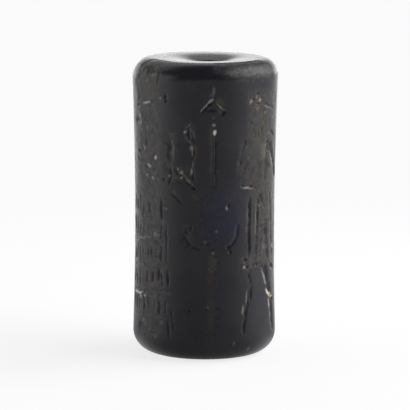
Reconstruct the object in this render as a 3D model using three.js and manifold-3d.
// A cylinder seal in millimetres, +Z up: a small drilled cylinder of polished dark stone, slightly
// waisted, with a scene cut into its wall so that it prints a frieze when it is rolled over clay.
// The origin is the centre of the lower end. Angle 0 faces -Y and angles turn towards +X.
// The scene is laid out on the unrolled wall: s runs round the wall from the -Y side and z runs up it,
// so every stroke is a pair of places [s, z], cut by a small tool that is wrapped round the stone.
import * as THREE from 'three';
import { mergeVertices } from 'three/addons/utils/BufferGeometryUtils.js';
import Module from 'manifold-3d';

const wasm = await Module();
wasm.setup();

// The stone
const HEIGHT = 28;
const TOP_RADIUS = 6.94; // the wall's radius carried up to the top, before the edge is rounded
const WAIST_RADIUS = 6.63;
const WAIST_HEIGHT = 0.42 * HEIGHT;
const FOOT_RADIUS = 6.83; // the same at the foot
const FOOT_EDGE = 2.06; // rounding of the lower edge
const TOP_EDGE = 1.5; // rounding of the upper edge
const WORN_EDGE = 1.95; // the same where the shoulder is rubbed down
const WORN_ANGLE = THREE.MathUtils.degToRad(-60);
const WORN_FADE = 4; // the power of the cosine by which the rubbing fades to either side
const TURNS = 48; // facets round the wall
const FOOT_STEPS = 5;
const WALL_STEPS = 3;
const TOP_STEPS = 3;

// The bore, drilled a little off the middle, in a dish worn into the upper end
const BORE_RADIUS = 1.3;
const BORE_OFFSET = 0.4;
const DISH_RADIUS = 4.7;
const DISH_DROP = 0.4;
const DISH_POWER = 2.5; // how steeply the dish falls away on its way in
const DISH_STEPS = 3;
const MOUTH_SPREAD = 0.3; // the rounded mouth of the bore in the dish
const MOUTH_DROP = 0.35;
const MOUTH_STEPS = 2;
const LIP_SPREAD = 1.9; // the rubbed lip of the bore at the lower end
const LIP_DROP = 0.7;
const LIP_STEPS = 3;

// The seal cutter's tools
const ROLLOUT_RADIUS = 6.7; // s is this radius times the angle
const LIFT = 0.04; // how far a tool's middle stands off the wall
const FINE = 0.36; // a graver's line
const PLAIN = 0.48; // a wheel's line
const WIDE = 0.6; // a brim, a barb or a shin
const BROAD = 0.85; // a thick limb
const SHALLOW = 0.24;
const MIDDLING = 0.32;
const DEEP = 0.42;
const DRILL_DEPTH = 0.45; // a drilled pit's depth for its width

const { lerp } = THREE.MathUtils;
const QUARTER_TURN = Math.PI / 2;

// The radius of the wall at a height: a parabola through the foot, the waist and the top.
function wallRadius(z) {
  const foot = FOOT_RADIUS * (z - WAIST_HEIGHT) * (z - HEIGHT) / (WAIST_HEIGHT * HEIGHT);
  const waist = WAIST_RADIUS * z * (HEIGHT - z) / (WAIST_HEIGHT * (HEIGHT - WAIST_HEIGHT));
  const top = TOP_RADIUS * z * (z - WAIST_HEIGHT) / (HEIGHT * (HEIGHT - WAIST_HEIGHT));
  return foot + waist + top;
}

// The rounding of the upper edge at an angle: wider on the worn side.
function topEdge(angle) {
  const facing = Math.max(0, Math.cos(angle - WORN_ANGLE));
  return lerp(TOP_EDGE, WORN_EDGE, facing ** WORN_FADE);
}

// The section of the stone at an angle, as one loop of places [radius, height, shift aside]: up the
// wall, over the top, into the dish, down the bore and under the foot. The shift grows with the way
// into the dish, because the bore is drilled off the middle.
function section(angle) {
  const edge = topEdge(angle);
  const footRadius = wallRadius(FOOT_EDGE) - FOOT_EDGE;
  const topRadius = wallRadius(HEIGHT - edge) - edge;
  const loop = [];
  for (let i = 0; i <= FOOT_STEPS; i++) {
    const turn = QUARTER_TURN * i / FOOT_STEPS;
    loop.push([footRadius + FOOT_EDGE * Math.sin(turn), FOOT_EDGE * (1 - Math.cos(turn)), 0]);
  }
  for (let i = 1; i < WALL_STEPS; i++) {
    const z = lerp(FOOT_EDGE, HEIGHT - edge, i / WALL_STEPS);
    loop.push([wallRadius(z), z, 0]);
  }
  for (let i = 0; i <= TOP_STEPS; i++) {
    const turn = QUARTER_TURN * i / TOP_STEPS;
    loop.push([topRadius + edge * Math.cos(turn), HEIGHT - edge * (1 - Math.sin(turn)), 0]);
  }
  for (let i = 0; i < DISH_STEPS; i++) {
    const inward = i / DISH_STEPS;
    const radius = lerp(DISH_RADIUS, BORE_RADIUS + MOUTH_SPREAD, inward);
    loop.push([radius, HEIGHT - DISH_DROP * inward ** DISH_POWER, BORE_OFFSET * inward]);
  }
  for (let i = 0; i <= MOUTH_STEPS; i++) {
    const turn = QUARTER_TURN * i / MOUTH_STEPS;
    const radius = BORE_RADIUS + MOUTH_SPREAD * (1 - Math.sin(turn));
    loop.push([radius, HEIGHT - DISH_DROP - MOUTH_DROP * (1 - Math.cos(turn)), BORE_OFFSET]);
  }
  for (let i = LIP_STEPS; i >= 0; i--) {
    const turn = QUARTER_TURN * i / LIP_STEPS;
    const radius = BORE_RADIUS + LIP_SPREAD * (1 - Math.sin(turn));
    loop.push([radius, LIP_DROP * (1 - Math.cos(turn)), BORE_OFFSET]);
  }
  loop.push(loop[0]);
  return loop;
}

// The radius of the uncut stone at an angle and a height, with its rounded edges.
function stoneRadius(angle, z) {
  const edge = topEdge(angle);
  const over = Math.min(z - (HEIGHT - edge), edge);
  const under = Math.min(FOOT_EDGE - z, FOOT_EDGE);
  if (over > 0) return wallRadius(HEIGHT - edge) - edge + Math.sqrt(edge ** 2 - over ** 2);
  if (under > 0) return wallRadius(FOOT_EDGE) - FOOT_EDGE + Math.sqrt(FOOT_EDGE ** 2 - under ** 2);
  return wallRadius(z);
}

// The uncut stone: a lathe turning whose section varies a little with the angle.
function blank() {
  const profile = section(0).map(([radius, z]) => new THREE.Vector2(radius, z));
  const turned = new THREE.LatheGeometry(profile, TURNS);
  const position = turned.getAttribute('position');
  for (let turn = 0; turn <= TURNS; turn++) {
    const angle = 2 * Math.PI * (turn % TURNS) / TURNS;
    section(angle).forEach(([radius, z, aside], row) => {
      const x = radius * Math.sin(angle) + aside;
      position.setXYZ(turn * profile.length + row, x, -radius * Math.cos(angle), z);
    });
  }
  return turned;
}

// Lays a unit tool (X across it, Y into the stone, Z along it) at a place on the wall. Its length leans
// from upright, bow pushes its middle sideways, taper widens its upper end and narrows its lower one.
function laid(tool, [s, z], { width, length, depth, lean = 0, bow = 0, taper = 0 }) {
  const position = tool.getAttribute('position');
  for (let i = 0; i < position.count; i++) {
    const along = position.getZ(i);
    const aside = position.getX(i) * (1 + taper * along) * width / 2 + bow * (1 - along ** 2);
    const up = along * length / 2;
    const angle = (s + aside * Math.cos(lean) + up * Math.sin(lean)) / ROLLOUT_RADIUS;
    const height = z - aside * Math.sin(lean) + up * Math.cos(lean);
    const radius = stoneRadius(angle, height) + LIFT - position.getY(i) * (depth + LIFT);
    position.setXYZ(i, radius * Math.sin(angle), -radius * Math.cos(angle), height);
  }
  return tool;
}

// A line cut by a wheel: it runs out at both ends, and a bow bends it to one side. It has more facets
// the wider it is and the further it runs round the wall.
function line([s0, z0], [s1, z1], width, depth, bow = 0) {
  const length = Math.hypot(s1 - s0, z1 - z0);
  const lean = Math.atan2(s1 - s0, z1 - z0);
  const middle = [(s0 + s1) / 2, (z0 + z1) / 2];
  const round = Math.abs(Math.sin(lean)) * length + 2 * Math.abs(bow);
  const pieces = THREE.MathUtils.clamp(Math.ceil(round), 1, 6);
  const wheel = new THREE.CapsuleGeometry(1, 2, width > FINE ? 2 : 1, width > PLAIN ? 6 : 4, pieces);
  wheel.scale(1, 0.5, 1);
  wheel.rotateX(QUARTER_TURN);
  return laid(wheel, middle, { width, length, depth, lean, bow });
}

// Lines from place to place, each overlapping the next so that they read as one bent stroke.
function bent(places, width, depth) {
  return places.slice(1).map(([s1, z1], i) => {
    const [s0, z0] = places[i];
    const overlap = width / 3 / Math.hypot(s1 - s0, z1 - z0);
    const from = [lerp(s0, s1, -overlap), lerp(z0, z1, -overlap)];
    const to = [lerp(s0, s1, 1 + overlap), lerp(z0, z1, 1 + overlap)];
    return line(from, to, width, depth);
  });
}

// A pit made by a round drill.
function pit(place, width) {
  const drill = new THREE.SphereGeometry(1, 6, 4);
  drill.rotateX(QUARTER_TURN);
  return laid(drill, place, { width, length: width, depth: DRILL_DEPTH * width });
}

// A broad smooth scoop, for a body or a face.
function scoop(place, width, length, depth, lean = 0, taper = 0) {
  const ball = new THREE.SphereGeometry(1, 10, 6);
  ball.rotateX(QUARTER_TURN);
  return laid(ball, place, { width, length, depth, lean, taper });
}

// The place that lies further round the wall, and further up it, than another.
function off([s, z], round, up) {
  return [s + round, z + up];
}

// A goddess in a long flounced robe and a tall crown, facing right with both hands raised.
function goddess() {
  const cuts = [];
  const hem = 4.1; // height of the robe's lower edge
  const flounce = 2.33; // height of each flounce
  const pleats = [[-6.85, 0.76], [-6.4, 0.76], [-6.2, 0.64], [-7.05, 0.72], [-7.0, 0.72]];
  const leftEdge = (tier) => lerp(-9.9, -8.3, tier / pleats.length);
  const rightEdge = (tier) => lerp(-3.1, -4.0, tier / pleats.length);
  for (let tier = 0; tier <= pleats.length; tier++) {
    const z = hem + tier * flounce;
    cuts.push(line([leftEdge(tier), z - 0.3], [rightEdge(tier), z + 0.15], PLAIN, SHALLOW, -0.1));
  }
  pleats.forEach(([start, spacing], tier) => {
    const z = hem + tier * flounce;
    const before = Math.floor((start - leftEdge(tier)) / spacing);
    for (let s = start - before * spacing; s < rightEdge(tier); s += spacing) {
      cuts.push(line([s, z + 0.3], [s, z + flounce - 0.4], FINE, SHALLOW));
    }
  });
  const toe = [-3.0, 2.5];
  cuts.push(scoop(off(toe, -2.6, 0.6), 3.8, 1.5, SHALLOW));
  cuts.push(line(off(toe, -0.7, 1.7), toe, PLAIN, DEEP));

  // The breast, with the beads of a necklace, each given from the middle of the breast
  const breast = [-6.3, 17.9];
  cuts.push(scoop(breast, 4.0, 3.6, MIDDLING));
  const beads = [[-0.9, 2.1, 0.9], [0.1, 0.3, 0.8], [1.1, 1.2, 0.6], [-0.1, -0.6, 0.6], [0.7, -0.8, 0.6]];
  for (const [round, up, width] of beads) cuts.push(pit(off(breast, round, up), width));

  // The neck, the head with its bun of hair, and the crown with its brim, horns and front edge
  const head = [-6.1, 22.5];
  cuts.push(line(off(head, -0.4, -1.2), off(head, -0.5, -3.0), BROAD, MIDDLING));
  cuts.push(scoop(head, 2.6, 2.7, MIDDLING));
  cuts.push(pit(off(head, -2.4, -0.1), 1.2));
  const crown = [-6.2, 25.6];
  cuts.push(scoop(crown, 3.6, 3.4, MIDDLING, 0, -0.2));
  cuts.push(line(off(crown, -1.7, -1.7), off(crown, 1.9, -0.8), PLAIN, DEEP, -0.15));
  cuts.push(line(off(crown, 1.6, -0.7), off(crown, 1.5, 1.2), FINE, DEEP));
  for (const up of [-0.2, 0.4, 1.0]) {
    cuts.push(line(off(crown, -1.1, up), off(crown, 1.2, up + 0.45), FINE, DEEP, -0.2));
  }

  // Both arms bend at the elbow, with the forearm and hand held up
  const farElbow = [-3.5, 17.0];
  cuts.push(...bent([off(farElbow, -1.7, 0.8), farElbow, off(farElbow, 0, 3.8)], PLAIN, DEEP));
  cuts.push(line(off(farElbow, 0, 3.5), off(farElbow, 0.45, 4.8), FINE, MIDDLING));
  const nearElbow = [-1.2, 16.9];
  const wrist = off(nearElbow, 0.05, 3.7);
  cuts.push(...bent([off(nearElbow, -1.6, 1.3), nearElbow, wrist], PLAIN, DEEP));
  cuts.push(line(off(wrist, -0.1, -0.2), off(wrist, -0.3, 2.0), FINE, MIDDLING, -0.6));
  cuts.push(line(wrist, off(wrist, -0.2, 1.9), FINE, MIDDLING, 0.25));
  cuts.push(line(off(nearElbow, -1.9, -0.9), off(nearElbow, -1.0, -1.7), FINE, MIDDLING));
  return cuts;
}

// A spear set upright on a round boss, with a ribbed shaft below.
function standard() {
  const cuts = [];
  const barb = [0.85, 24.9];
  cuts.push(line(off(barb, -0.1, 1.5), off(barb, 0, -0.4), FINE, SHALLOW));
  cuts.push(line(barb, off(barb, -1.2, -1.25), WIDE, MIDDLING));
  cuts.push(line(barb, off(barb, 1.15, -1.15), WIDE, MIDDLING));
  cuts.push(line(off(barb, 0, -0.5), off(barb, 0.15, -8.2), PLAIN, DEEP));

  // The boss: a shallow round hollow with pits in it, between two pairs of curved lines, under a third
  const boss = [0.6, 13.5];
  cuts.push(scoop(boss, 3.9, 4.2, 0.12));
  cuts.push(line(off(boss, -1.4, 2.6), off(boss, 1.6, 2.6), FINE, SHALLOW, -0.4));
  for (const side of [-1, 1]) {
    const outer = [off(boss, side * 1.6, -2.5), off(boss, side * 2.6, 0.2)];
    const inner = [off(boss, side * 1.4, -1.5), off(boss, side * 1.9, 0.2)];
    cuts.push(line(...outer, PLAIN, MIDDLING, side * 0.45));
    cuts.push(line(...inner, FINE, SHALLOW, side * 0.2));
  }
  for (const [round, up] of [[1.5, 1.2], [0.5, -1.1], [-0.5, -2.1], [0.2, -3.1]]) {
    cuts.push(pit(off(boss, round, up), PLAIN));
  }

  const shaft = { top: [0.65, 10.5], foot: [0.75, 2.3], ribs: 5 };
  cuts.push(line(shaft.top, shaft.foot, 1.0, 0.16));
  for (let rib = 0; rib < shaft.ribs; rib++) {
    const z = lerp(shaft.foot[1] + 0.8, shaft.top[1] - 0.8, rib / (shaft.ribs - 1));
    cuts.push(line([0.2, z], [1.25, z - 0.1], FINE, SHALLOW));
  }
  return cuts;
}

// A man in a long-fringed kilt, striding left, with one arm bent across his waist.
function warrior() {
  const cuts = [];
  // The head: a rolled brim with curls under it, the face and the beard
  const head = [5.7, 23.0];
  cuts.push(scoop(head, 2.3, 2.8, MIDDLING));
  cuts.push(line(off(head, 0, 1.9), off(head, 2.2, 0.6), WIDE, DEEP, -0.2));
  for (let lock = 0; lock < 3; lock++) {
    cuts.push(pit(off(head, 0.5 * lock - 1, 1.5 + 0.1 * lock), WIDE));
    cuts.push(line(off(head, 0.5 * lock - 0.7, -1.1), off(head, 0.5 * lock - 0.5, -2.1), FINE, SHALLOW));
  }

  // The trunk: a smooth wedge that widens to the elbow, with the belt as a ledge under it
  const trunk = [4.9, 18.7];
  cuts.push(scoop(trunk, 3.4, 4.8, MIDDLING, 0.12, -0.25));
  cuts.push(line(off(trunk, -0.7, 2.5), off(trunk, -1.8, -1.8), PLAIN, MIDDLING));
  cuts.push(line(off(trunk, -2.1, -1.8), off(trunk, 0.8, -2.4), WIDE, DEEP));
  cuts.push(line(off(trunk, 2.0, 2.2), off(trunk, 1.6, -2.3), BROAD, MIDDLING));
  for (let finger = 0; finger < 3; finger++) {
    const knuckle = off(trunk, 0.5 * finger - 1.1, -0.2);
    cuts.push(line(knuckle, off(knuckle, 0.2, -0.8), FINE, SHALLOW));
  }

  // The other arm hangs behind him from its shoulder, with a fringed sleeve
  const shoulder = [7.5, 20.4];
  cuts.push(line(off(shoulder, -0.2, 1.1), off(shoulder, 0.9, 0.4), PLAIN, MIDDLING));
  cuts.push(...bent([shoulder, off(shoulder, 0.9, -1.8), off(shoulder, 2.0, -4.0)], BROAD, DEEP));
  for (let fringe = 0; fringe < 3; fringe++) {
    const tassel = off(shoulder, -0.6, -1.1 - 0.7 * fringe);
    cuts.push(line(tassel, off(tassel, 1.0, -0.6), FINE, SHALLOW));
  }

  // The kilt: folds that spread from the belt to a studded hem
  const kilt = { belt: 15.8, hem: 9.5, folds: 6, broadFold: 3, studs: 5 };
  for (let fold = 0; fold < kilt.folds; fold++) {
    const across = fold / (kilt.folds - 1);
    const top = [lerp(4.5, 8.3, across), kilt.belt];
    const bottom = [lerp(4.4, 9.4, across), kilt.hem];
    cuts.push(line(top, bottom, fold === kilt.broadFold ? BROAD : PLAIN, MIDDLING));
  }
  for (let stud = 0; stud < kilt.studs; stud++) {
    cuts.push(pit([4.0 + 0.95 * stud, kilt.hem - 0.15], PLAIN));
  }
  cuts.push(line([3.5, kilt.hem - 0.6], [9.8, kilt.hem - 1.1], PLAIN, MIDDLING));

  // The legs, astride, with bare stone between them
  const frontKnee = [4.75, 5.8];
  const backKnee = [7.4, 5.8];
  for (const [knee, hip, ankle, toe] of [[frontKnee, -0.25, -1.15, -1.85], [backKnee, -0.9, 1.0, 0.1]]) {
    cuts.push(line(off(knee, hip, 3.2), knee, BROAD, DEEP));
    cuts.push(line(off(knee, 0, 1.1), off(knee, ankle, -3.3), WIDE, DEEP));
    cuts.push(line(off(knee, ankle + 0.1, -3.0), off(knee, toe, -3.3), FINE, SHALLOW));
  }
  return cuts;
}

// A plain attendant in a long robe, on the side away from the spear.
function attendant() {
  const cuts = [];
  const hem = [14, 3.4];
  const belt = off(hem, 0, 12.2);
  const folds = 4;
  for (let fold = 0; fold < folds; fold++) {
    const aside = lerp(-1, 1, fold / (folds - 1));
    cuts.push(line(off(hem, 1.7 * aside, 0.2), off(belt, 1.1 * aside, 0), PLAIN, MIDDLING));
  }
  cuts.push(line(off(hem, -2.1, 0), off(hem, 2.1, 0), PLAIN, MIDDLING));
  cuts.push(line(off(belt, -1.5, 0.4), off(belt, 1.5, 0.4), PLAIN, SHALLOW));
  cuts.push(scoop(off(belt, 0, 3.0), 2.8, 4.4, MIDDLING, 0, 0.25));
  const elbow = off(belt, 2.4, 2.0);
  cuts.push(...bent([off(elbow, -1.5, 1.3), elbow, off(elbow, 0.1, 2.8)], PLAIN, DEEP));
  const head = off(belt, 0, 7.2);
  cuts.push(scoop(head, 1.9, 2.6, MIDDLING));
  cuts.push(line(off(head, -1.3, 1.2), off(head, 1.2, 1.2), PLAIN, MIDDLING));
  return cuts;
}

// A crescent on a staff, behind the goddess.
function crescent() {
  const moon = [-15.5, 24.0];
  const foot = off(moon, 0, -18);
  return [
    line(off(moon, -1.5, 0.2), off(moon, 1.5, 0.2), WIDE, DEEP, 1.7),
    pit(moon, 0.8),
    line(off(moon, 0, -1.6), foot, PLAIN, MIDDLING),
    line(off(foot, -1.3, 0), off(foot, 1.3, 0), PLAIN, MIDDLING),
  ];
}

// A closed geometry as a solid that can be cut.
function solid(geometry) {
  geometry.deleteAttribute('normal');
  geometry.deleteAttribute('uv');
  const merged = mergeVertices(geometry);
  return new wasm.Manifold(new wasm.Mesh({
    numProp: 3,
    vertProperties: merged.getAttribute('position').array,
    triVerts: new Uint32Array(merged.index.array),
  }));
}

// The cut solid as a flat-shaded geometry.
function geometryOf(cut) {
  const mesh = cut.getMesh();
  const geometry = new THREE.BufferGeometry();
  geometry.setAttribute('position', new THREE.BufferAttribute(mesh.vertProperties, 3));
  geometry.setIndex(new THREE.BufferAttribute(mesh.triVerts, 1));
  const faceted = geometry.toNonIndexed();
  faceted.computeVertexNormals();
  return faceted;
}

const strokes = [...goddess(), ...standard(), ...warrior(), ...attendant(), ...crescent()];
const engraved = strokes.reduce((stone, tool) => stone.subtract(solid(tool)), solid(blank()));

const polishedStone = new THREE.MeshStandardMaterial({ color: 0x2a2727, roughness: 0.42, metalness: 0 });
const seal = new THREE.Mesh(geometryOf(engraved), polishedStone);
seal.name = 'seal_stone';

const part = new THREE.Group();
part.add(seal);
export default part;
